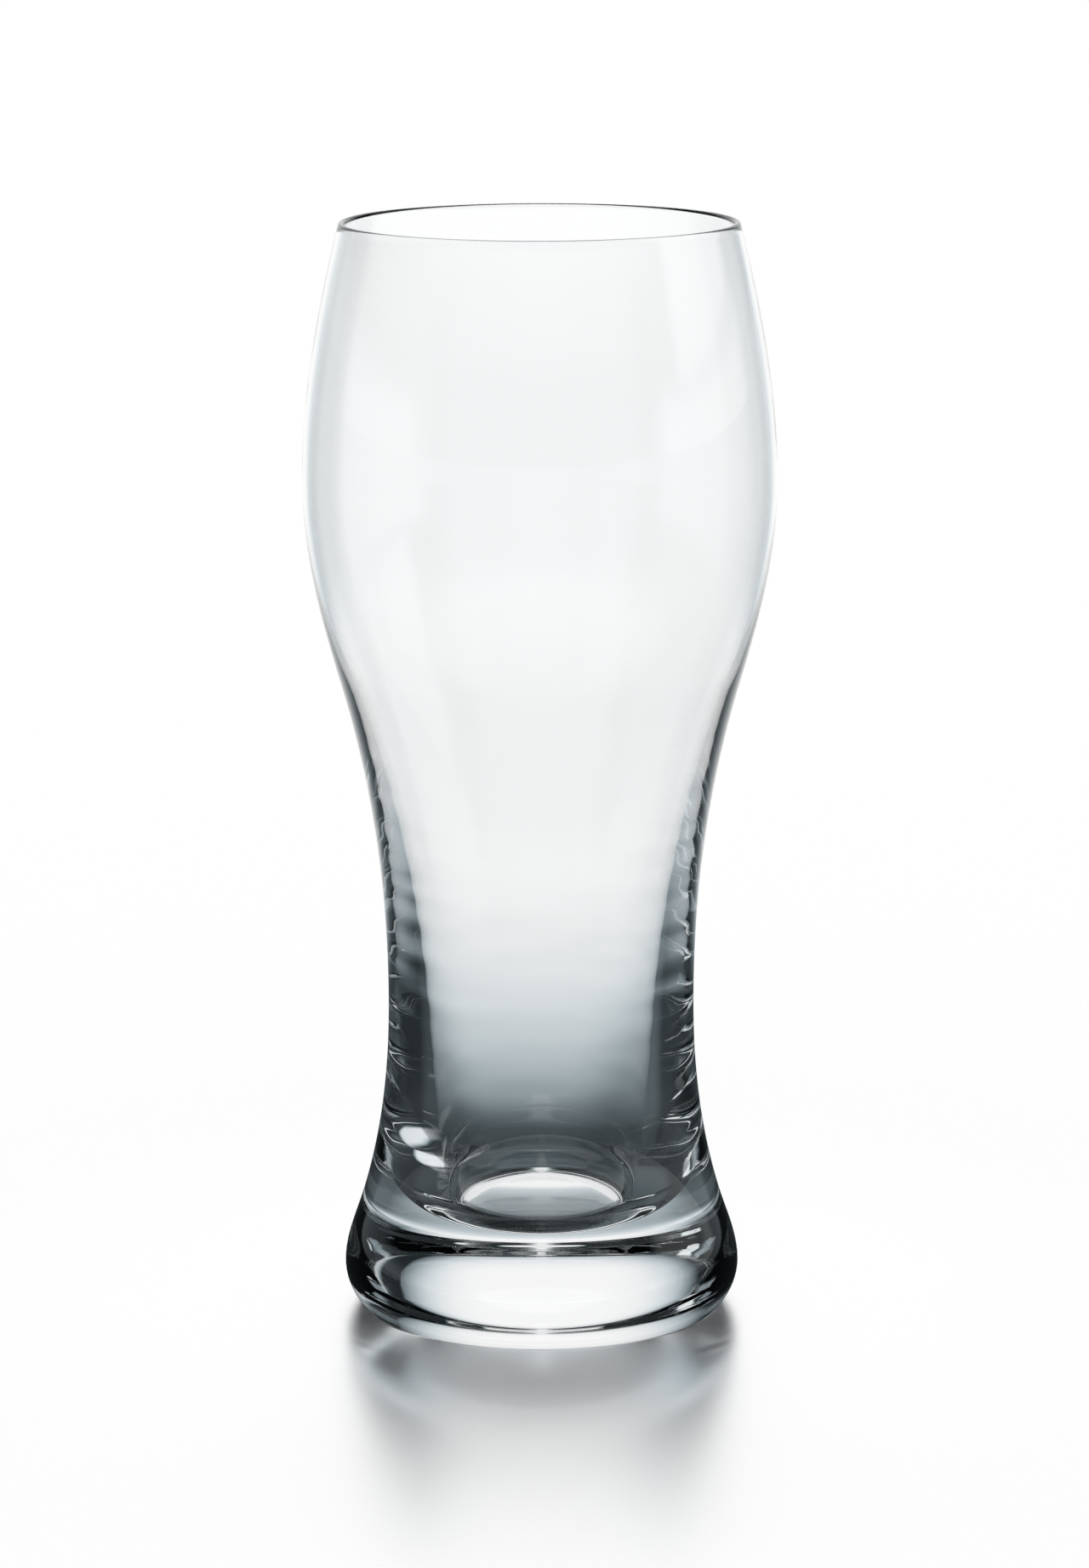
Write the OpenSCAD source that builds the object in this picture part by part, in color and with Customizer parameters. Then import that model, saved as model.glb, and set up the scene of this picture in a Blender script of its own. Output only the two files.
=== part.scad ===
// Tall beer tumbler in clear glass: heavy solid foot, narrow waist, full bowl and drawn-in lip.
// One turned profile makes the whole glass. +Z is up, and the origin is the middle of the resting plane.

/* [Outside] */
// Height from the resting plane to the top of the lip
height = 195; // [185:1:205]
// Outside diameter at the lip
lip_diameter = 70.4; // [66:0.2:74]
// Inward lean of the bowl at the lip, in degrees from upright
lip_lean = 14; // [8:1:18]
// Largest outside diameter of the bowl
bowl_diameter = 83.7; // [80:0.1:88]
// Height of the bowl's largest diameter
bowl_height = 149.5; // [145:0.5:154]
// Outside diameter where the bowl's flank turns from hollow to full
flank_diameter = 71; // [69:0.5:73]
// Height of that turn
flank_height = 114; // [110:1:118]
// Outward lean of the flank there, in degrees from upright
flank_lean = 16.5; // [13:0.5:18]
// Outside diameter of the waist
waist_diameter = 54.7; // [52:0.1:58]
// Height of the waist
waist_height = 56; // [52:1:60]
// Outside diameter on the slope between foot and waist
instep_diameter = 64.4; // [62:0.2:66]
// Height of that place on the slope
instep_height = 20; // [18:1:22]
// Inward lean of the slope there, in degrees from upright
instep_lean = 17; // [12:1:20]

/* [Foot] */
// Largest outside diameter of the foot
foot_diameter = 71; // [69:0.5:74]
// Height of the foot's largest diameter
foot_height = 7.5; // [6.5:0.5:8]
// Radius of the rounded heel below it
heel_radius = 10; // [9.5:0.5:13]
// Radius of the broken edge between heel and resting ring
edge_radius = 0.5; // [0.3:0.1:0.8]
// Diameter of the shallow hollow in the underside
hollow_diameter = 48; // [40:1:54]
// Depth of that hollow at the middle
hollow_depth = 0.6; // [0.4:0.1:1.2]

/* [Inside] */
// Thickness of the solid glass under the well
floor_thickness = 15; // [12:0.5:18]
// Radius between the floor and the wall of the well
floor_fillet = 8; // [6:0.5:9]
// Inside diameter of the well at the top of that radius
well_diameter = 37.2; // [35:0.2:39]
// Outward lean of the well's wall there, in degrees from upright
well_lean = 5; // [3:0.5:7]
// Wall thickness at the waist, measured level
waist_wall = 6.6; // [5:0.1:8]
// Outward lean of the inside at the waist, in degrees from upright
waist_lean = 5; // [3:0.5:7]
// Wall thickness at the turn of the flank, measured level
flank_wall = 2; // [1.8:0.1:3]
// Outward lean of the inside at the turn of the flank, in degrees from upright
flank_lean_inside = 19.5; // [17:0.5:21]
// Wall thickness at the bowl's largest diameter
bowl_wall = 1.3; // [1.1:0.1:2]
// Wall thickness at the lip, which is fully round
lip_wall = 1.2; // [1:0.1:1.8]

/* [Smoothness] */
// Longest straight step along the flowing curves
curve_step = 6; // [4:0.5:10]
// Largest turn in one step of the small round corners, in degrees
corner_turn = 15; // [10:1:30]

/* [Hidden] */
$fn = 128;
glass_tint = [0.87, 0.93, 0.94, 0.45];

// Lip: a half circle across the wall, tipped by the lean
lip_round = lip_wall / 2;
lip_centre = [lip_diameter / 2 - lip_round, height - lip_round];
lip_outer = lip_centre + lip_round * [cos(lip_lean), sin(lip_lean)];
lip_inner = lip_centre - lip_round * [cos(lip_lean), sin(lip_lean)];

// Heel and broken edge: two circles that touch inside one another
heel_centre = [foot_diameter / 2 - heel_radius, foot_height];
edge_drop = foot_height - edge_radius;
edge_reach = sqrt(pow(heel_radius - edge_radius, 2) - pow(edge_drop, 2));
edge_centre = [heel_centre.x + edge_reach, edge_radius];
edge_angle = -atan2(edge_drop, edge_reach);

// Underside hollow: a shallow spherical cap
hollow_reach = hollow_diameter / 2;
hollow_radius = (pow(hollow_reach, 2) + pow(hollow_depth, 2)) / (2 * hollow_depth);
hollow_centre = [0, hollow_depth - hollow_radius];
hollow_angle = asin(hollow_reach / hollow_radius);
hollow_steps = 5;

// Floor fillet: touches the floor, and ends where its side leans like the well's wall
fillet_centre = [well_diameter / 2 - floor_fillet * cos(well_lean), floor_thickness + floor_fillet];
well_foot = fillet_centre + floor_fillet * [cos(well_lean), -sin(well_lean)];

// Stations along the outside, from the foot up: radius, height, and lean as radius gained per height
outside = [
    [foot_diameter / 2, foot_height, 0],
    [instep_diameter / 2, instep_height, -tan(instep_lean)],
    [waist_diameter / 2, waist_height, 0],
    [flank_diameter / 2, flank_height, tan(flank_lean)],
    [bowl_diameter / 2, bowl_height, 0],
    [lip_outer.x, lip_outer.y, -tan(lip_lean)]
];

// The same along the inside, from the lip down
inside = [
    [lip_inner.x, lip_inner.y, -tan(lip_lean)],
    [bowl_diameter / 2 - bowl_wall, bowl_height, 0],
    [flank_diameter / 2 - flank_wall, flank_height, tan(flank_lean_inside)],
    [waist_diameter / 2 - waist_wall, waist_height, tan(waist_lean)],
    [well_foot.x, well_foot.y, tan(well_lean)]
];

// Points of an arc about centre c, its last point left out
function arc(c, r, from, to) =
    let (steps = ceil(abs(to - from) / corner_turn))
    [for (i = [0 : steps - 1]) let (a = from + (to - from) * i / steps) c + r * [cos(a), sin(a)]];

// Radius on the smooth curve between two stations, t of the way up
function flow_radius(a, b, t) =
    let (rise = b[1] - a[1], u = 1 - t)
    a[0] * u * u * (1 + 2 * t) + b[0] * t * t * (3 - 2 * t) + rise * t * u * (a[2] * u - b[2] * t);

// Points of that curve, its last point left out
function flow(a, b) =
    let (steps = ceil(abs(b[1] - a[1]) / curve_step))
    [for (i = [0 : steps - 1]) let (t = i / steps) [flow_radius(a, b, t), a[1] + (b[1] - a[1]) * t]];

// Points of the curve through all the stations of a list, the last one included
function flow_through(stations) = [
    for (i = [0 : len(stations) - 2]) each flow(stations[i], stations[i + 1]),
    [stations[len(stations) - 1][0], stations[len(stations) - 1][1]]
];

// Underside from the axis to the resting ring
function underside() = [
    for (i = [0 : hollow_steps])
        let (a = hollow_angle * i / hollow_steps)
        i == 0 ? [0, hollow_depth]
        : i == hollow_steps ? [hollow_reach, 0]
        : hollow_centre + hollow_radius * [sin(a), cos(a)]
];

// Half section of the glass: underside, edge and heel, outside, lip, inside, floor
function half_section() = concat(
    underside(),
    arc(edge_centre, edge_radius, -90, edge_angle),
    arc(heel_centre, heel_radius, edge_angle, 0),
    flow_through(outside),
    [for (p = arc(lip_centre, lip_round, lip_lean, lip_lean + 180)) if (p != lip_outer) p],
    flow_through(inside),
    [for (p = arc(fillet_centre, floor_fillet, -well_lean, -90)) if (p != well_foot) p],
    [[fillet_centre.x, floor_thickness], [0, floor_thickness]]
);

module tumbler() {
    color(glass_tint)
        rotate_extrude()
            polygon(half_section());
}

tumbler();
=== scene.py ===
"""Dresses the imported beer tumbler: one turned piece of clear glass in a plain white studio."""

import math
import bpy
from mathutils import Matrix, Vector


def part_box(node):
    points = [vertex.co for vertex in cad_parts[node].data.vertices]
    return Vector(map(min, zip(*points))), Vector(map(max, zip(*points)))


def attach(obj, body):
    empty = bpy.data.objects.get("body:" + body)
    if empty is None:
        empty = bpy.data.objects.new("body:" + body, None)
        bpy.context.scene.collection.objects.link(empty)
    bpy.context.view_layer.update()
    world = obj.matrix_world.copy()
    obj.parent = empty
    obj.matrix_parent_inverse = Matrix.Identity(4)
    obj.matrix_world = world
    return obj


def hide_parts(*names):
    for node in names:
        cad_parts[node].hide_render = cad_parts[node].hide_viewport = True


bl_info = {
    "name": "Beer tumbler",
    "version": (1, 0, 0),
    "blender": (4, 5, 0),
    "location": "3D View > Sidebar > Tumbler",
    "description": "Builds a clear glass beer tumbler and a plain studio around it",
    "category": "Add Mesh",
}

from collections import namedtuple

import bpy
import numpy as np
from bpy.props import FloatProperty, FloatVectorProperty, IntProperty, PointerProperty
from mathutils import Matrix

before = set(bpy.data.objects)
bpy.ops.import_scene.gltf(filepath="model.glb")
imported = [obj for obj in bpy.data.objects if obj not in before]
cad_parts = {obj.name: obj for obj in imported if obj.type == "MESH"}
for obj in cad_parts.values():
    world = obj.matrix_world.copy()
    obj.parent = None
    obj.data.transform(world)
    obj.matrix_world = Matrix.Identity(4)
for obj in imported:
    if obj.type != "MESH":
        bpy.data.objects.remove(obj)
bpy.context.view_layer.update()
NODE = "tumbler"
MM = 0.001
FULL_TURN = 2 * math.pi


def mm(*sizes):
    """Sizes in millimetres, as a list in metres."""
    return [size * MM for size in sizes]


def cosines(*degrees):
    """Cosines of angles in degrees."""
    return [math.cos(math.radians(angle)) for angle in degrees]


def sines(*degrees):
    """Sines of angles in degrees."""
    return [math.sin(math.radians(angle)) for angle in degrees]


# Fineness of the half section: the curves' step in height, and the steps or points of its other stretches
CURVE_STEP = 1.1 * MM
HOLLOW_STEPS = 30
RING_POINTS = 6
EDGE_STEPS = 6
HEEL_STEPS = 24
LIP_STEPS = 14
FILLET_STEPS = 28
FLOOR_POINTS = 12

# Points closer than this are one
SAME_PLACE = 0.0001 * MM

# Waves of the inner wall: lengths, heights over which they fade in and out, and their end above the flank
WAVE_SEED = 11
WAVE_LENGTHS = np.linspace(2.4, 9.0, 9) * MM
WAVE_FADE_IN = 6 * MM
WAVE_FADE_OUT = 40 * MM
WAVE_END = 6 * MM

# Ranges drawn from for each wave: the turns it climbs round the glass, its sway and how often it sways
WAVE_TURNS = (-3, 4)
WAVE_SWAY = (0.5, 1.5)
WAVE_SWAYS = (1, 4)

# Pattern of the glass's drifting tint and unevenness: finer along the height than around
DRIFT_STRETCH = (1.0, 1.0, 2.0)
DRIFT_SCALE = 50.0
DRIFT_DETAIL = 1.0

# Greys that the glass shows: stops of their cool shade, how soon it sets in and how it falls towards white
SHADE_STOPS = (0.0, 0.03, 0.1, 0.25, 0.5, 0.75, 1.0)
SHADE_ONSET = 30
SHADE_FALL = 0.8

# The floor's own look: how much of its white is its own, and where its gloss and the gloss's painted cool
# cast end
OWN_WHITE = 0.5
GLOSS_REACH = mm(60, 170)
GLOSS_MIDDLE = mm(5, 32)
GLOSS_LEAST = 0.7
# The gloss's cool cast is a painted tint of the glass's reflection, in a patch in front of the glass
REFLECTION_TINT_SIDE = mm(20, 38)
REFLECTION_TINT_FRONT = mm(-20, -30)
REFLECTION_TINT_REACH = mm(45, 85)

# Painted brightness of the floor as the glass shows it, by millimetres from the axis: a painted shadow, dark
# near the glass
FLOOR_SHADE_IN_FOOT = [(0, 0.1), (44, 0.08), (47, 0.1), (51, 0.6), (56, 0.78), (75, 0.86), (100, 1.0), (240, 1.0)]
FLOOR_SHADE_IN_WELL = [
    (0, 0.1), (30, 0.06), (38, 0.12), (46, 0.06), (56, 0.07), (66, 0.17), (80, 0.36),
    (95, 0.5), (120, 0.67), (150, 0.79), (180, 0.89), (210, 0.98), (240, 1.0),
]
FLOOR_SHADE_MIRRORED = [
    (0, 0.1), (36, 0.06), (50, 0.04), (80, 0.08), (130, 0.1),
    (150, 0.38), (180, 0.75), (220, 1.0), (240, 1.0),
]

# The same under the hollow, by millimetres back from the hollow's front edge: a painted pool of light, shaded
# at the front
HOLLOW_LIGHT_POOL = [(0, 0.1), (16, 0.08), (30, 0.3), (36, 0.32), (40, 0.6), (42, 1.0), (48, 1.0)]
HOLLOW_FRONT = 24 * MM
HOLLOW_REACH = mm(24, 26)

# Floor seen through the foot: painted shade, darker off the four square directions, near the glass
FOOT_NEAR = mm(130, 260)
FOOT_SQUARE = cosines(10, 28)
FOOT_ASIDE = 0.12

# Floor seen through the well: painted shade, darker towards the sides, near the glass
WELL_NEAR = mm(70, 190)
WELL_RIGHT = (0.08, 0.45)
WELL_LEFT = (-0.25, -0.6)
WELL_ASIDE = 0.62

# Floor seen in reflections: painted light and shade, brighter at the right near the glass and dim away from
# the sides
MIRROR_NEAR = mm(125, 160)
MIRROR_TILT = (-0.3, 0.3, 0.7, 1.3)
MIRROR_SIDE = (0.8, 0.95, 0.35, 1.0)
FAR_FLOOR = mm(250, 500)
OUTER_FLOOR = mm(230, 340)

# Level directions of the light, as cosines of the angle from +Y, which is behind the glass
FAR_WHITE = cosines(42, 14)
FRONT_TURN = cosines(110, 130)
FRONT_PANEL = cosines(120, 140)
AROUND_PANEL = cosines(70, 86)
BEHIND_FULL = cosines(8)[0]
BEHIND_CUT = cosines(39, 36)
BEHIND_EDGES = cosines(52, 43)

# The same as cosines of the angle from +X, which is at the right
LOW_RIGHT = cosines(45, 30)
LOW_LEFT = cosines(143, 162)
LEFT_PANEL = cosines(156, 168)

# The right panel: its middle's parts along Y and X, and its soft edge as cosines of the angle from there
RIGHT_MIDDLE = cosines(81) + sines(81)
RIGHT_PANEL = cosines(30, 19)

# Heights of the light above level, as sines
SIDE_FOOT = sines(2, 8)
SIDE_TOP = sines(44, 48)
PANEL_TOP = sines(44, 46)
BEHIND_FALL = sines(25, 44)
BEHIND_TOP_SHARE = 0.75
RIM_TOP = sines(2, 9)
FRONT_TOP = sines(24, 30)
AROUND_FOOT = sines(14, 22)
OVERHEAD_FOOT = sines(46, 52)
LEVEL_TOP = sines(1.5, 4)

# Parts of the direction along X and Y at the edges of the overhead panel and its strip, and at the middle
OVERHEAD_SIDE = (0.48, 0.58)
OVERHEAD_FRONT = (0.15, 0.2)
OVERHEAD_BACK = (0.5, 0.56)
STRIP_SIDE = (0.03, 0.08)
MIDDLE = (-0.1, 0.1)

# Least level length of a direction, so that nothing is divided by zero
LEAST_LEVEL = 0.000001

# Counts of reflections or passes behind a ray, and the most that are followed
ONCE = 1
TWICE = 2
OFTEN = 4
BOUNCES = 32
GLOSSY_BOUNCES = 16

# Width of the camera's sensor in millimetres
SENSOR_WIDTH = 36.0


def length(name, description, millimetres):
    """A size that a user would change, its default given in millimetres."""
    return FloatProperty(
        name=name, description=description, default=millimetres * MM, unit="LENGTH", precision=5
    )


def lean(name, description, degrees):
    """An angle that a user would change, its default given in degrees."""
    return FloatProperty(
        name=name, description=description, default=math.radians(degrees), subtype="ANGLE"
    )


def colour(name, description, default):
    """A colour that a user would change."""
    return FloatVectorProperty(
        name=name, description=description, default=default, subtype="COLOR", size=3, min=0, soft_max=1
    )


def share(name, description, default):
    """A share or a brightness that a user would change, where 1 is all of it or white."""
    return FloatProperty(name=name, description=description, default=default, min=0, soft_max=1)


class TumblerSizes(bpy.types.PropertyGroup):
    """Driving sizes of the glass, the same as in its solid."""

    height: FloatProperty(
        name="Height",
        description="From the resting plane to the top of the lip",
        default=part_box(NODE)[1].z,
        unit="LENGTH",
    )
    lip_diameter: length("Lip", "Outside diameter at the lip", 70.4)
    lip_lean: lean("Lip lean", "Inward lean of the bowl at the lip", 14)
    bowl_diameter: length("Bowl", "Largest outside diameter of the bowl", 83.7)
    bowl_height: length("Bowl height", "Height of the bowl's largest diameter", 149.5)
    flank_diameter: length("Flank", "Outside diameter where hollow turns to full", 71)
    flank_height: length("Flank height", "Height of that turn", 114)
    flank_lean: lean("Flank lean", "Outward lean of the flank there", 16.5)
    waist_diameter: length("Waist", "Outside diameter of the waist", 54.7)
    waist_height: length("Waist height", "Height of the waist", 56)
    instep_diameter: length("Instep", "Outside diameter between foot and waist", 64.4)
    instep_height: length("Instep height", "Height of that place", 20)
    instep_lean: lean("Instep lean", "Inward lean of the slope there", 17)
    foot_diameter: length("Foot", "Largest outside diameter of the foot", 71)
    foot_height: length("Foot height", "Height of the foot's largest diameter", 7.5)
    heel_radius: length("Heel", "Radius of the rounded heel", 10)
    edge_radius: length("Edge", "Radius between heel and resting ring", 0.5)
    hollow_diameter: length("Hollow", "Diameter of the hollow in the underside", 48)
    hollow_depth: length("Hollow depth", "Depth of that hollow at the middle", 0.6)
    floor_thickness: length("Floor", "Solid glass under the well", 15)
    floor_fillet: length("Floor fillet", "Radius between floor and well wall", 8)
    well_diameter: length("Well", "Inside diameter at the top of that radius", 37.2)
    well_lean: lean("Well lean", "Outward lean of the well's wall there", 5)
    waist_wall: length("Waist wall", "Wall thickness at the waist", 6.6)
    waist_lean: lean("Waist lean", "Outward lean of the inside at the waist", 5)
    flank_wall: length("Flank wall", "Wall thickness at the turn of the flank", 2)
    flank_lean_inside: lean("Flank lean inside", "Outward lean of the inside there", 19.5)
    bowl_wall: length("Bowl wall", "Wall thickness at the largest diameter", 1.3)
    lip_wall: length("Lip wall", "Wall thickness at the lip", 1.2)
    around: IntProperty(name="Around", description="Steps around the axis", default=216, min=24)


class GlassFinish(bpy.types.PropertyGroup):
    """Colour and surface of the glass."""

    tint: colour("Tint", "Colour of the clear glass where its tint is strongest", (0.992, 0.997, 1.0))
    index: FloatProperty(name="Index", description="Refractive index of the glass", default=1.52, min=1)
    ripple: length("Ripple", "Height of the hot-worked waves on the inner wall", 0.01)
    unevenness: length("Unevenness", "Height of the faint unevenness all over", 0.01)


class StageLook(bpy.types.PropertyGroup):
    """Floor, light and camera."""

    floor_colour: colour("Floor", "Colour of the pale floor", (1.0, 1.0, 1.0))
    # Painted tint of the glass's reflection on the floor's gloss
    floor_reflection_tint: colour("Floor cast", "Colour of the floor's gloss in front of the glass", (0.92, 0.97, 1.0))
    floor_size: length("Floor size", "Half the floor's side", 12000)
    floor_gap: length("Floor gap", "Air between the floor and the resting ring", 0.05)
    floor_roughness: share("Floor roughness", "Blur of the floor's gloss", 0.28)
    shade: colour("Shade", "Cool cast of the greys that the glass shows", (0.78, 1.0, 1.1))
    room: share("Room", "Strength of the white room", 1.0)
    right_light: share("Right light", "Panel and low light on the right", 0.85)
    left_light: share("Left light", "Panel on the left", 0.03)
    left_low: share("Left low", "Low light on the left", 0.6)
    overhead: share("Overhead", "Panel above", 0.95)
    deep: share("Deep", "Share of the panel behind that is left after many reflections", 0.3)
    sides: share("Sides", "Far floor and low light at the sides", 0.35)
    front: share("Front", "Low light in front, in single reflections", 0.5)
    around: share("Around", "Light at middle height beside and in front, in single reflections", 0.9)
    dim: share("Dim", "Low light elsewhere", 0.06)
    dark: share("Dark", "Between the panels", 0.02)
    camera_distance: length("Camera distance", "Level distance from the axis", 924.5)
    camera_height: length("Camera height", "Height above the resting plane", 282.6)
    camera_pitch: lean("Camera pitch", "Downward look of the camera", 11.476)
    camera_roll: lean("Camera roll", "Turn of the camera about its own axis", -0.133)
    focal_length: FloatProperty(
        name="Focal length", description="Of the camera, in millimetres", default=121.62, min=1
    )
    sideways: FloatProperty(
        name="Sideways", description="Camera shift as a share of the picture's height", default=0.0025
    )


def arc(centre, radius, start, end, steps):
    """Points centre + radius (cos a, sin a), with the angle a even from start to end."""
    angle = np.linspace(start, end, steps + 1)
    return np.stack([centre[0] + radius * np.cos(angle), centre[1] + radius * np.sin(angle)], axis=1)


def level_line(start, end, height, count):
    """Points on a level line, with the radius even from start to end."""
    return np.stack([np.linspace(start, end, count), np.full(count, height)], axis=1)


def flow(stations, step):
    """Smooth curve through stations of radius, height and lean.

    Between two stations the radius is the cubic in height that has both radii and both leans.
    """
    runs = []
    for low, high in zip(stations[:-1], stations[1:]):
        rise = high[1] - low[1]
        count = max(2, int(abs(rise) / step))
        t = np.linspace(0.0, 1.0, count + 1)
        u = 1.0 - t
        radius = low[0] * u * u * (1 + 2 * t) + high[0] * t * t * (3 - 2 * t)
        radius = radius + rise * t * u * (low[2] * u - high[2] * t)
        runs.append(np.stack([radius, low[1] + rise * t], axis=1))
    return np.concatenate(runs)


def outside_stations(s, lip_outer):
    """Radius, height and lean up the outside, from the foot to the lip."""
    return [
        (s.foot_diameter / 2, s.foot_height, 0.0),
        (s.instep_diameter / 2, s.instep_height, -math.tan(s.instep_lean)),
        (s.waist_diameter / 2, s.waist_height, 0.0),
        (s.flank_diameter / 2, s.flank_height, math.tan(s.flank_lean)),
        (s.bowl_diameter / 2, s.bowl_height, 0.0),
        (lip_outer[0], lip_outer[1], -math.tan(s.lip_lean)),
    ]


def inside_stations(s, lip_inner, well_foot):
    """Radius, height and lean down the inside, from the lip to the well."""
    return [
        (lip_inner[0], lip_inner[1], -math.tan(s.lip_lean)),
        (s.bowl_diameter / 2 - s.bowl_wall, s.bowl_height, 0.0),
        (s.flank_diameter / 2 - s.flank_wall, s.flank_height, math.tan(s.flank_lean_inside)),
        (s.waist_diameter / 2 - s.waist_wall, s.waist_height, math.tan(s.waist_lean)),
        (well_foot[0], well_foot[1], math.tan(s.well_lean)),
    ]


def underside(s):
    """The hollow's spherical cap, the resting ring, and the edge and heel arcs, from the axis outwards.

    The edge's circle touches the heel's from within, which gives the place and the angle where they meet.
    """
    hollow_reach = s.hollow_diameter / 2
    hollow_radius = (hollow_reach**2 + s.hollow_depth**2) / (2 * s.hollow_depth)
    hollow_angle = math.asin(hollow_reach / hollow_radius)
    hollow_centre = (0.0, s.hollow_depth - hollow_radius)
    up = math.pi / 2
    heel_centre = np.array([s.foot_diameter / 2 - s.heel_radius, s.foot_height])
    drop = s.foot_height - s.edge_radius
    reach = math.sqrt((s.heel_radius - s.edge_radius) ** 2 - drop**2)
    edge_centre = np.array([heel_centre[0] + reach, s.edge_radius])
    edge_angle = -math.atan2(drop, reach)
    return [
        arc(hollow_centre, hollow_radius, up, up - hollow_angle, HOLLOW_STEPS),
        level_line(hollow_reach, edge_centre[0], 0.0, RING_POINTS),
        arc(edge_centre, s.edge_radius, -up, edge_angle, EDGE_STEPS),
        arc(heel_centre, s.heel_radius, edge_angle, 0.0, HEEL_STEPS),
    ]


def half_section(s):
    """Half section of the glass from the axis below to the axis above, as radius and height.

    In order: the underside, the outside curve, the lip's half circle, the inside curve, the floor fillet
    and the floor. Points that fall on the one before are left out.
    """
    across = np.array([math.cos(s.lip_lean), math.sin(s.lip_lean)])
    lip_round = s.lip_wall / 2
    lip_centre = np.array([s.lip_diameter / 2 - lip_round, s.height - lip_round])
    down = np.array([math.cos(s.well_lean), -math.sin(s.well_lean)])
    fillet_centre = np.array(
        [s.well_diameter / 2 - s.floor_fillet * down[0], s.floor_thickness + s.floor_fillet]
    )
    well_foot = fillet_centre + s.floor_fillet * down
    points = np.concatenate([
        *underside(s),
        flow(outside_stations(s, lip_centre + lip_round * across), CURVE_STEP),
        arc(lip_centre, lip_round, s.lip_lean, s.lip_lean + math.pi, LIP_STEPS),
        flow(inside_stations(s, lip_centre - lip_round * across, well_foot), CURVE_STEP),
        arc(fillet_centre, s.floor_fillet, -s.well_lean, -math.pi / 2, FILLET_STEPS),
        level_line(fillet_centre[0], 0.0, s.floor_thickness, FLOOR_POINTS),
    ])
    points[0, 0] = 0.0
    points[-1, 0] = 0.0
    apart = np.linalg.norm(np.diff(points, axis=0), axis=1) > SAME_PLACE
    return points[np.concatenate([[True], apart])]


def wave_share(section, s):
    """Share of the waves at each point: all on the well's wall, none in the bowl, on the floor or outside."""
    z = section[:, 1]
    on_inside = np.arange(len(section)) > int(np.argmax(z))
    low = np.clip((z - s.floor_thickness - s.floor_fillet) / WAVE_FADE_IN, 0, 1)
    high = np.clip((s.flank_height + WAVE_END - z) / WAVE_FADE_OUT, 0, 1)
    return on_inside * low * high


def waves(z, angle):
    """Irregular level waves: half the sum of sines in height that each climb and sway round the glass.

    A sine is as high as its wave is long, against the longest, which makes the half sum about 1 high.
    """
    draw = np.random.default_rng(WAVE_SEED)
    total = np.zeros(np.broadcast(z, angle).shape)
    for wave in WAVE_LENGTHS:
        turns = draw.integers(*WAVE_TURNS)
        phase = draw.uniform(0, FULL_TURN)
        sway = draw.uniform(*WAVE_SWAY)
        sway = sway * np.sin(draw.integers(*WAVE_SWAYS) * angle + draw.uniform(0, FULL_TURN))
        rise = np.sin(FULL_TURN * z / wave + turns * angle + phase + sway)
        total = total + wave / WAVE_LENGTHS[-1] * rise
    return total / 2


def turn_mesh(name, section, wave_height, around):
    """Surface of revolution (r cos a, r sin a, z), with r moved by the waves, wave_height at each point.

    The first and last points lie on the axis and become single poles.
    """
    angle = np.linspace(0, FULL_TURN, around, endpoint=False)[None, :]
    r = section[1:-1, :1] + wave_height[1:-1, None] * waves(section[1:-1, 1:], angle)
    z = np.broadcast_to(section[1:-1, 1:], r.shape)
    rings = np.stack([r * np.cos(angle), r * np.sin(angle), z], axis=2).reshape(-1, 3)
    poles = np.array([[0, 0, section[0, 1]], [0, 0, section[-1, 1]]])
    vertices = np.concatenate([rings, poles])
    count = len(section) - 2
    here = np.arange(around)
    after = (here + 1) % around
    row = np.arange(count - 1)[:, None] * around
    corners_of_row = [row + here, row + after, row + around + after, row + around + here]
    quads = np.stack(corners_of_row, axis=2).reshape(-1, 4)
    below = np.stack([np.full(around, count * around), after, here], axis=1)
    last = (count - 1) * around
    above = np.stack([np.full(around, count * around + 1), last + here, last + after], axis=1)
    corners = np.concatenate([quads.ravel(), below.ravel(), above.ravel()]).astype(np.int32)
    sizes = np.concatenate([np.full(len(quads), 4), np.full(2 * around, 3)])
    starts = np.concatenate([[0], np.cumsum(sizes)[:-1]]).astype(np.int32)
    mesh = bpy.data.meshes.new(name)
    mesh.vertices.add(len(vertices))
    mesh.vertices.foreach_set("co", vertices.astype(np.float32).ravel())
    mesh.loops.add(len(corners))
    mesh.loops.foreach_set("vertex_index", corners)
    mesh.polygons.add(len(sizes))
    mesh.polygons.foreach_set("loop_start", starts)
    mesh.polygons.foreach_set("use_smooth", np.ones(len(sizes), bool))
    mesh.update(calc_edges=True)
    if mesh.validate():
        raise RuntimeError("the turned glass has faulty faces")
    return mesh


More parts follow.
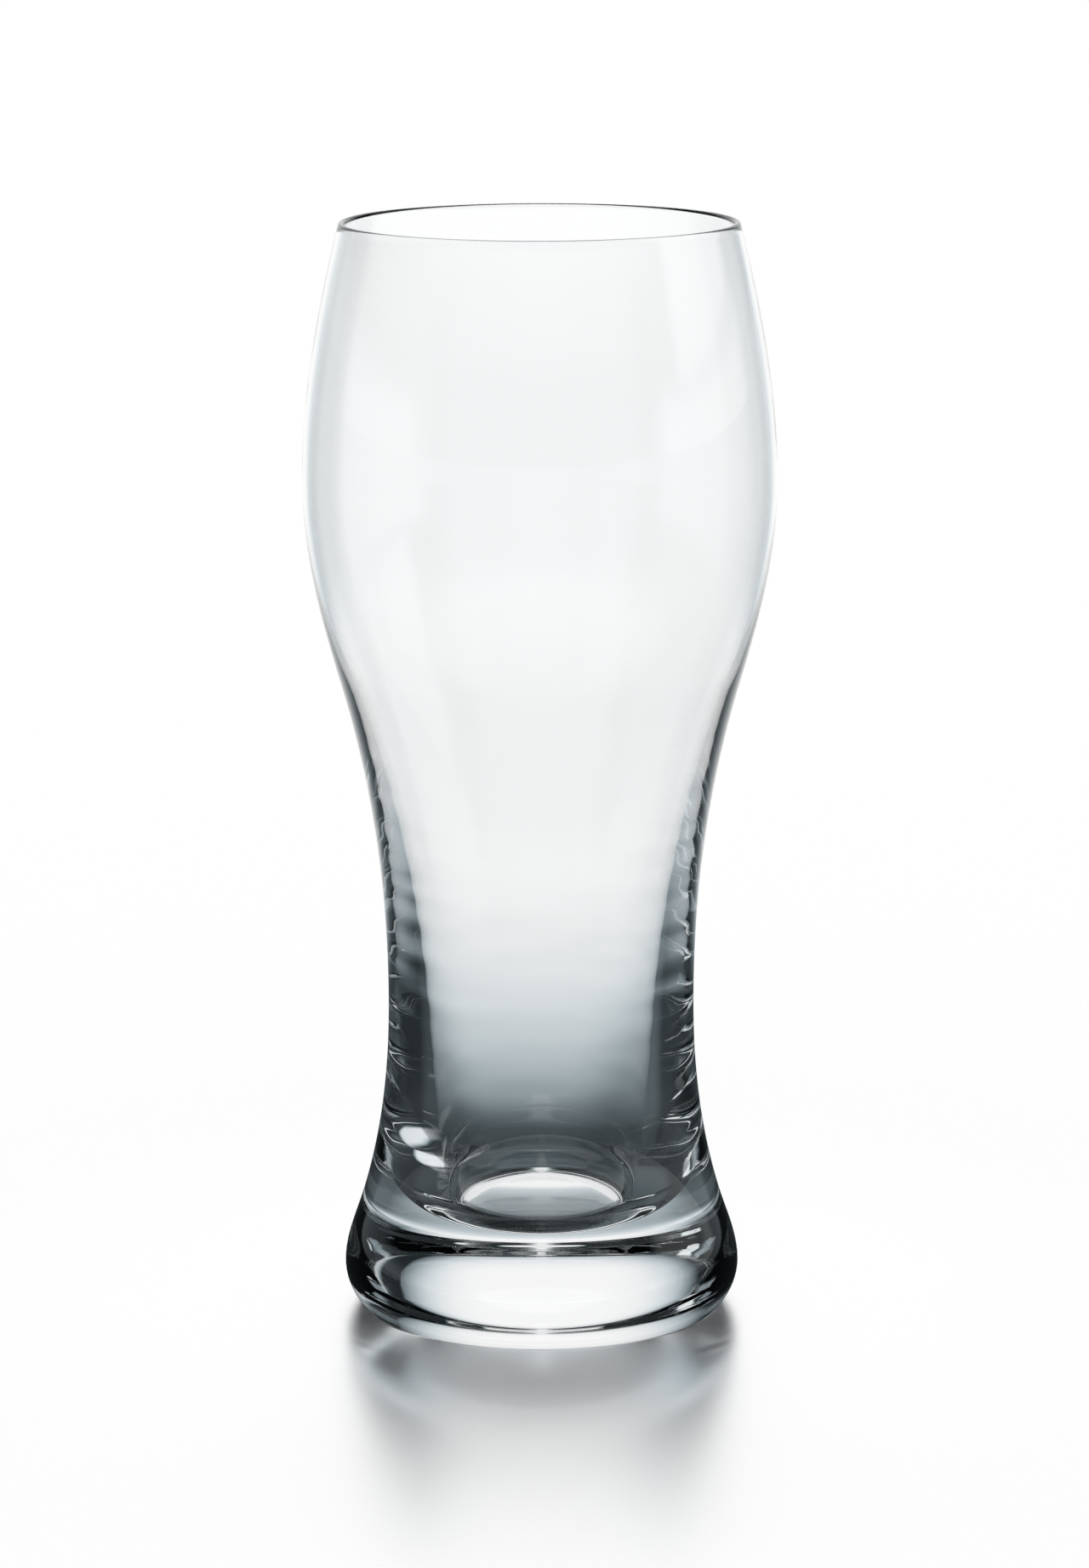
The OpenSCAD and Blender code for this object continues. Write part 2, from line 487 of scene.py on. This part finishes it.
class Tree:
    """Adds nodes to one node tree. Each value is an output socket, or a plain number or colour."""

    def __init__(self, node_tree):
        self.nodes = node_tree.nodes
        self.links = node_tree.links

    def put(self, socket, value):
        """Links an output socket to an input socket, or sets a plain value on it."""
        if isinstance(value, bpy.types.NodeSocket):
            self.links.new(value, socket)
        else:
            socket.default_value = value

    def calc(self, operation, *values):
        """Result of one Math node."""
        node = self.nodes.new("ShaderNodeMath")
        node.operation = operation
        for socket, value in zip(node.inputs, values):
            self.put(socket, value)
        return node.outputs[0]

    def product(self, first, *others):
        """Product of several shares."""
        for value in others:
            first = self.calc("MULTIPLY", first, value)
        return first

    def most(self, first, *others):
        """Largest of several brightnesses."""
        for value in others:
            first = self.calc("MAXIMUM", first, value)
        return first

    def step(self, value, start, end, low=0.0, high=1.0):
        """Smooth change from low to high as value goes from start to end."""
        node = self.nodes.new("ShaderNodeMapRange")
        node.interpolation_type = "SMOOTHSTEP"
        names = ("Value", "From Min", "From Max", "To Min", "To Max")
        for name, setting in zip(names, (value, start, end, low, high)):
            self.put(node.inputs[name], setting)
        return node.outputs["Result"]

    def fade(self, value, start, end):
        """Smooth change from 1 to 0 as value goes from start to end."""
        return self.step(value, start, end, 1.0, 0.0)

    def mix(self, amount, first, second):
        """Number that goes from first to second as amount goes from 0 to 1."""
        node = self.nodes.new("ShaderNodeMix")
        for name, value in (("Factor", amount), ("A", first), ("B", second)):
            self.put(node.inputs[name], value)
        return node.outputs["Result"]

    def ramp(self, value, stops):
        """Colour that follows value through stops of place, from 0 to 1, and colour."""
        node = self.nodes.new("ShaderNodeValToRGB")
        elements = node.color_ramp.elements
        while len(elements) < len(stops):
            elements.new(0.5)
        for element, (place, colour_there) in zip(elements, stops):
            element.position = place
            element.color = (*colour_there, 1)
        self.put(node.inputs[0], value)
        return node.outputs[0]

    def greys(self, distance, stops):
        """Grey that follows a distance through stops of millimetres and brightness."""
        longest = stops[-1][0]
        places = [(place / longest, (bright, bright, bright)) for place, bright in stops]
        return self.ramp(self.calc("DIVIDE", distance, longest * MM), places)

    def blend(self, amount, first, second):
        """Shader that goes from first to second as amount goes from 0 to 1."""
        node = self.nodes.new("ShaderNodeMixShader")
        for socket, value in zip(node.inputs, (amount, first, second)):
            self.put(socket, value)
        return node.outputs[0]


def glass_finish():
    """Node group: a tint that drifts over the glass, and the height of its faint unevenness from 0 to 1."""
    group = bpy.data.node_groups.new("glass_finish", "ShaderNodeTree")
    group.interface.new_socket("Tint", in_out="INPUT", socket_type="NodeSocketColor")
    group.interface.new_socket("Colour", in_out="OUTPUT", socket_type="NodeSocketColor")
    group.interface.new_socket("Height", in_out="OUTPUT", socket_type="NodeSocketFloat")
    tree = Tree(group)
    entry = tree.nodes.new("NodeGroupInput")
    leave = tree.nodes.new("NodeGroupOutput")
    coordinates = tree.nodes.new("ShaderNodeTexCoord")
    stretch = tree.nodes.new("ShaderNodeMapping")
    stretch.inputs["Scale"].default_value = DRIFT_STRETCH
    tree.put(stretch.inputs["Vector"], coordinates.outputs["Object"])
    noise = tree.nodes.new("ShaderNodeTexNoise")
    noise.inputs["Scale"].default_value = DRIFT_SCALE
    noise.inputs["Detail"].default_value = DRIFT_DETAIL
    tree.put(noise.inputs["Vector"], stretch.outputs[0])
    drift = tree.nodes.new("ShaderNodeMix")
    drift.data_type = "RGBA"
    white_input, tint_input = [socket for socket in drift.inputs if socket.type == "RGBA"]
    white_input.default_value = (1, 1, 1, 1)
    tree.put(tint_input, entry.outputs["Tint"])
    tree.put(drift.inputs["Factor"], noise.outputs[0])
    drifted = [socket for socket in drift.outputs if socket.type == "RGBA"][0]
    tree.put(leave.inputs["Colour"], drifted)
    tree.put(leave.inputs["Height"], noise.outputs[0])
    return group


def glass_material(finish):
    """Clear glass: full transmission, with a faint cool tint and unevenness from the finish group."""
    material = bpy.data.materials.new("clear_glass")
    material.use_nodes = True
    tree = Tree(material.node_tree)
    shader = tree.nodes["Principled BSDF"]
    drift = tree.nodes.new("ShaderNodeGroup")
    drift.node_tree = glass_finish()
    drift.inputs["Tint"].default_value = (*finish.tint, 1)
    bump = tree.nodes.new("ShaderNodeBump")
    bump.inputs["Distance"].default_value = finish.unevenness
    tree.put(bump.inputs["Height"], drift.outputs["Height"])
    tree.put(shader.inputs["Base Color"], drift.outputs["Colour"])
    tree.put(shader.inputs["Normal"], bump.outputs["Normal"])
    shader.inputs["Roughness"].default_value = 0.0
    shader.inputs["IOR"].default_value = finish.index
    shader.inputs["Transmission Weight"].default_value = 1.0
    return material


class TUMBLER_OT_glass(bpy.types.Operator):
    """Turns the glass from its half section and gives it its finish"""

    bl_idname = "tumbler.glass"
    bl_label = "Glass"

    def execute(self, context):
        sizes = context.scene.tumbler_sizes
        finish = context.scene.tumbler_finish
        section = half_section(sizes)
        mesh = turn_mesh("glass", section, wave_share(section, sizes) * finish.ripple, sizes.around)
        glass = bpy.data.objects.new("glass", mesh)
        context.scene.collection.objects.link(glass)
        mesh.materials.append(glass_material(finish))
        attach(glass, "root")
        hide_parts(NODE)
        return {"FINISHED"}


# A direction of the room or a place on the floor, taken apart
Aim = namedtuple("Aim", "x y z level cos_x cos_y")


def aim_of(tree, vector):
    """Parts of a vector, its level length, and the cosines of its level angle from +X and +Y."""
    parts = tree.nodes.new("ShaderNodeSeparateXYZ")
    tree.put(parts.inputs[0], vector)
    x, y, z = parts.outputs
    squares = tree.calc("ADD", tree.product(x, x), tree.product(y, y))
    level = tree.calc("MAXIMUM", tree.calc("SQRT", squares), LEAST_LEVEL)
    return Aim(x, y, z, level, tree.calc("DIVIDE", x, level), tree.calc("DIVIDE", y, level))


def more_than(tree, path, kind, count):
    """1 for a ray that has more than count events of a kind, Glossy or Transmission, behind it."""
    return tree.calc("GREATER_THAN", path[kind + " Depth"], count + 0.5)


def thin_wall(tree, path):
    """1 for a ray that has entered glass and been mirrored at most once, as in the bowl's thin wall."""
    single = tree.calc("SUBTRACT", 1.0, more_than(tree, path, "Glossy", ONCE))
    return tree.product(single, more_than(tree, path, "Transmission", 0))


def low_sides(tree, aim, path, look):
    """Low light at the sides: most at the right, some at the left, and little after several reflections."""
    right = tree.product(tree.step(aim.cos_x, *LOW_RIGHT), look.right_light)
    left = tree.product(tree.step(aim.cos_x, *LOW_LEFT), look.left_low)
    single = tree.most(right, left, look.sides)
    few = tree.mix(more_than(tree, path, "Glossy", ONCE), single, look.sides)
    return tree.mix(more_than(tree, path, "Glossy", TWICE), few, look.dim)


def cool_grey(tree, brightness, look):
    """Colour of a brightness: neutral in black and white, cool in the greys, most in the dark ones."""
    stops = []
    for bright in SHADE_STOPS:
        strength = min(1.0, SHADE_ONSET * bright) * (1 - bright) ** SHADE_FALL
        stops.append((bright, [bright * (1 + strength * (part - 1)) for part in look.shade]))
    return tree.ramp(brightness, stops)


def floor_surface(tree, aim, look):
    """The floor itself: matt, partly white of its own, with a soft gloss near the glass that has a painted
    cool tint in front of it.
    """
    diffuse = tree.nodes.new("ShaderNodeBsdfDiffuse")
    diffuse.inputs["Color"].default_value = (*look.floor_colour, 1)
    white = tree.nodes.new("ShaderNodeEmission")
    white.inputs["Color"].default_value = (*look.floor_colour, 1)
    gloss = tree.nodes.new("ShaderNodeBsdfGlossy")
    gloss.inputs["Roughness"].default_value = look.floor_roughness
    aside = tree.calc("ABSOLUTE", aim.x)
    # Painted reflection tint: the gloss turns cool in a patch in front of the glass, where its reflection
    # falls
    cast = tree.product(
        tree.fade(aside, *REFLECTION_TINT_SIDE), tree.step(aim.y, *REFLECTION_TINT_FRONT), tree.fade(aim.level, *REFLECTION_TINT_REACH)
    )
    tree.put(gloss.inputs["Color"], tree.ramp(cast, [(0, look.floor_colour), (1, look.floor_reflection_tint)]))
    glossy = tree.product(
        tree.step(aside, *GLOSS_MIDDLE, GLOSS_LEAST, 1.0), tree.fade(aim.level, *GLOSS_REACH)
    )
    matt = tree.blend(OWN_WHITE, diffuse.outputs[0], white.outputs[0])
    return tree.blend(glossy, matt, gloss.outputs[0])


def painted_floor_through_glass(tree, aim, path):
    """Painted brightness of the floor seen through the glass without a reflection: through its foot or its
    well.
    """
    # Painted shadow of the glass: the floor darkens towards it, more so off the square directions and to the
    # sides
    square = tree.most(tree.calc("ABSOLUTE", aim.cos_x), tree.calc("ABSOLUTE", aim.cos_y))
    foot_aside = tree.product(tree.fade(aim.level, *FOOT_NEAR), tree.step(square, *FOOT_SQUARE))
    foot = tree.product(tree.greys(aim.level, FLOOR_SHADE_IN_FOOT), tree.mix(foot_aside, 1.0, FOOT_ASIDE))
    off_middle = tree.most(tree.step(aim.cos_x, *WELL_RIGHT), tree.step(aim.cos_x, *WELL_LEFT))
    well_aside = tree.product(tree.fade(aim.level, *WELL_NEAR), off_middle)
    well = tree.product(tree.greys(aim.level, FLOOR_SHADE_IN_WELL), tree.mix(well_aside, 1.0, WELL_ASIDE))
    # Painted pool of light under the hollow, with painted shade at its front edge
    back = tree.calc("ADD", aim.y, HOLLOW_FRONT)
    hollow = tree.product(tree.greys(back, HOLLOW_LIGHT_POOL), tree.fade(aim.level, *HOLLOW_REACH))
    in_well = more_than(tree, path, "Transmission", TWICE)
    return tree.most(tree.mix(in_well, foot, well), hollow)


def painted_floor_in_reflections(tree, aim, path, look):
    """Painted brightness of the floor seen after a reflection, on the outside of the glass or within it."""
    # Painted shade near the glass, painted light at the right, and painted reflections of the lights in the
    # far floor
    near = tree.fade(aim.level, *MIRROR_NEAR)
    tilt = tree.mix(near, 1.0, tree.step(aim.cos_x, *MIRROR_TILT))
    broadside = tree.mix(near, 1.0, tree.step(tree.calc("ABSOLUTE", aim.cos_x), *MIRROR_SIDE))
    front = tree.mix(thin_wall(tree, path), look.dim, look.front)
    turned = tree.step(aim.cos_y, *FRONT_TURN)
    sides = tree.mix(turned, low_sides(tree, aim, path, look), front)
    behind = tree.step(aim.cos_y, *FAR_WHITE)
    far = tree.mix(tree.step(aim.level, *FAR_FLOOR), 1.0, tree.mix(behind, sides, 1.0))
    within = tree.product(tree.greys(aim.level, FLOOR_SHADE_MIRRORED), tilt, broadside, far)
    outside = tree.product(
        tree.step(aim.level, *OUTER_FLOOR, look.dim, 1.0), tree.mix(behind, look.sides, 1.0)
    )
    return tree.mix(more_than(tree, path, "Transmission", 0), outside, within)


def floor_material(look):
    """Pale floor: white with a soft gloss near the glass. Seen in the glass, it darkens towards it in painted
    shade.
    """
    material = bpy.data.materials.new("pale_floor")
    material.use_nodes = True
    tree = Tree(material.node_tree)
    tree.nodes.clear()
    aim = aim_of(tree, tree.nodes.new("ShaderNodeTexCoord").outputs["Object"])
    path = tree.nodes.new("ShaderNodeLightPath").outputs
    seen_through = painted_floor_through_glass(tree, aim, path)
    mirrored = painted_floor_in_reflections(tree, aim, path, look)
    brightness = tree.mix(more_than(tree, path, "Glossy", 0), seen_through, mirrored)
    # The floor that the glass shows glows with the painted light and shade worked out above
    in_glass = tree.nodes.new("ShaderNodeEmission")
    tree.put(in_glass.inputs["Color"], cool_grey(tree, brightness, look))
    sharp = tree.product(path["Is Glossy Ray"], path["Is Singular Ray"])
    by_glass = tree.most(path["Is Transmission Ray"], sharp)
    output = tree.nodes.new("ShaderNodeOutputMaterial")
    surface = tree.blend(by_glass, floor_surface(tree, aim, look), in_glass.outputs[0])
    tree.put(output.inputs["Surface"], surface)
    return material


def panel_behind(tree, aim, often, look):
    """Panel behind the glass: soft at its left edge, sharper at the right, and darker towards its top."""
    left_half = tree.step(aim.x, *reversed(MIDDLE))
    return tree.product(
        tree.most(left_half, tree.step(aim.cos_y, *BEHIND_CUT)),
        tree.step(aim.cos_y, tree.step(aim.x, *MIDDLE, *BEHIND_EDGES), BEHIND_FULL),
        tree.fade(aim.z, *PANEL_TOP),
        tree.step(aim.z, *BEHIND_FALL, 1.0, BEHIND_TOP_SHARE),
        tree.mix(often, 1.0, look.deep),
    )


def panels_beside(tree, aim, look):
    """Upright panels at the right and at the left, the left one faint."""
    tall = tree.product(tree.step(aim.z, *SIDE_FOOT), tree.fade(aim.z, *SIDE_TOP))
    part_y, part_x = RIGHT_MIDDLE
    toward = tree.calc(
        "ADD", tree.calc("MULTIPLY", aim.cos_x, part_x), tree.calc("MULTIPLY", aim.cos_y, part_y)
    )
    right = tree.product(tree.step(toward, *RIGHT_PANEL), tall, look.right_light)
    left = tree.product(tree.step(aim.cos_x, *LEFT_PANEL), tall, look.left_light)
    return tree.most(right, left)


def panel_overhead(tree, aim, often, look):
    """Panel above. After many reflections only its narrow middle strip is left."""
    aside = tree.calc("ABSOLUTE", aim.x)
    back = tree.fade(aim.y, *OVERHEAD_BACK)
    wide = tree.product(
        tree.calc("SUBTRACT", 1.0, often),
        tree.fade(aside, *OVERHEAD_SIDE),
        tree.step(aim.y, *OVERHEAD_FRONT),
        back,
    )
    strip = tree.product(tree.fade(aside, *STRIP_SIDE), back)
    return tree.product(tree.most(wide, strip), tree.step(aim.z, *OVERHEAD_FOOT), look.overhead)


def low_light(tree, aim, path, look):
    """Light near level all round, low light in front, and light at middle height beside and in front."""
    thin = thin_wall(tree, path)
    turned = tree.step(aim.cos_y, *FRONT_TURN)
    low = tree.mix(turned, low_sides(tree, aim, path, look), look.dim)
    rim = tree.product(tree.fade(aim.z, *RIM_TOP), low)
    front = tree.product(
        tree.step(aim.cos_y, *FRONT_PANEL), tree.fade(aim.z, *FRONT_TOP), thin, look.front
    )
    around = tree.product(
        tree.step(aim.cos_y, *AROUND_PANEL),
        tree.step(aim.z, *AROUND_FOOT),
        tree.fade(aim.z, *PANEL_TOP),
        thin,
        look.around,
    )
    return tree.most(rim, front, around)


def studio_world(look):
    """White room. Only the glass shows its panels behind, beside and above, with dark between them.

    Rays from the camera, from the matt floor and from its soft gloss meet plain white, and so do rays
    straight through the well that leave it nearly level.
    """
    world = bpy.data.worlds.new("studio")
    world.use_nodes = True
    tree = Tree(world.node_tree)
    tree.nodes.clear()
    aim = aim_of(tree, tree.nodes.new("ShaderNodeTexCoord").outputs["Generated"])
    path = tree.nodes.new("ShaderNodeLightPath").outputs
    often = more_than(tree, path, "Glossy", OFTEN)
    in_glass = tree.most(
        panel_behind(tree, aim, often, look),
        panels_beside(tree, aim, look),
        low_light(tree, aim, path, look),
        panel_overhead(tree, aim, often, look),
        look.dark,
    )
    soft_gloss = tree.calc("SUBTRACT", path["Is Glossy Ray"], path["Is Singular Ray"])
    straight = tree.calc("SUBTRACT", 1.0, more_than(tree, path, "Glossy", 0))
    in_well = more_than(tree, path, "Transmission", TWICE)
    level_view = tree.product(straight, in_well, tree.fade(aim.z, *LEVEL_TOP))
    white = tree.most(path["Is Camera Ray"], path["Is Diffuse Ray"], soft_gloss, level_view)
    background = tree.nodes.new("ShaderNodeBackground")
    tree.put(background.inputs["Color"], cool_grey(tree, tree.most(white, in_glass), look))
    background.inputs["Strength"].default_value = look.room
    output = tree.nodes.new("ShaderNodeOutputWorld")
    tree.put(output.inputs["Surface"], background.outputs[0])
    world.cycles.sampling_method = "NONE"
    return world


def studio_floor(look):
    """A square of floor just below the resting ring."""
    half = look.floor_size
    corners = [(-half, -half, 0), (half, -half, 0), (half, half, 0), (-half, half, 0)]
    mesh = bpy.data.meshes.new("floor")
    mesh.from_pydata(corners, [], [(0, 1, 2, 3)])
    mesh.materials.append(floor_material(look))
    floor = bpy.data.objects.new("floor", mesh)
    floor.location.z = -look.floor_gap
    return floor


def studio_camera(look):
    """Camera in front of the glass, looking down at it a little."""
    lens = bpy.data.cameras.new("camera")
    lens.lens = look.focal_length
    lens.sensor_width = SENSOR_WIDTH
    lens.shift_x = look.sideways
    camera = bpy.data.objects.new("camera", lens)
    camera.location = (0, -look.camera_distance, look.camera_height)
    tilt = Matrix.Rotation(math.pi / 2 - look.camera_pitch, 3, "X")
    camera.rotation_euler = (tilt @ Matrix.Rotation(look.camera_roll, 3, "Z")).to_euler()
    return camera


class TUMBLER_OT_stage(bpy.types.Operator):
    """Lays the floor, sets the light and places the camera"""

    bl_idname = "tumbler.stage"
    bl_label = "Stage"

    def execute(self, context):
        scene = context.scene
        look = scene.tumbler_stage
        floor = studio_floor(look)
        scene.collection.objects.link(floor)
        scene.world = studio_world(look)
        camera = studio_camera(look)
        scene.collection.objects.link(camera)
        scene.camera = camera
        scene.view_settings.view_transform = "Standard"
        scene.cycles.max_bounces = BOUNCES
        scene.cycles.transmission_bounces = BOUNCES
        scene.cycles.glossy_bounces = GLOSSY_BOUNCES
        return {"FINISHED"}


class TUMBLER_PT_panel(bpy.types.Panel):
    """Lists the tumbler's operators"""

    bl_idname = "TUMBLER_PT_panel"
    bl_label = "Tumbler"
    bl_space_type = "VIEW_3D"
    bl_region_type = "UI"
    bl_category = "Tumbler"

    def draw(self, context):
        for operator in OPERATORS:
            self.layout.operator(operator.bl_idname)


GROUPS = {"tumbler_sizes": TumblerSizes, "tumbler_finish": GlassFinish, "tumbler_stage": StageLook}
OPERATORS = (TUMBLER_OT_glass, TUMBLER_OT_stage)
CLASSES = (*GROUPS.values(), *OPERATORS, TUMBLER_PT_panel)


def register():
    """Adds the classes to Blender, and the sizes and looks to its scenes."""
    for cls in CLASSES:
        bpy.utils.register_class(cls)
    for name, group in GROUPS.items():
        setattr(bpy.types.Scene, name, PointerProperty(type=group))


def unregister():
    """Takes away what register adds."""
    for name in GROUPS:
        delattr(bpy.types.Scene, name)
    for cls in reversed(CLASSES):
        bpy.utils.unregister_class(cls)


def main():
    register()
    bpy.ops.tumbler.glass()
    bpy.ops.tumbler.stage()


if __name__ == "__main__":
    main()
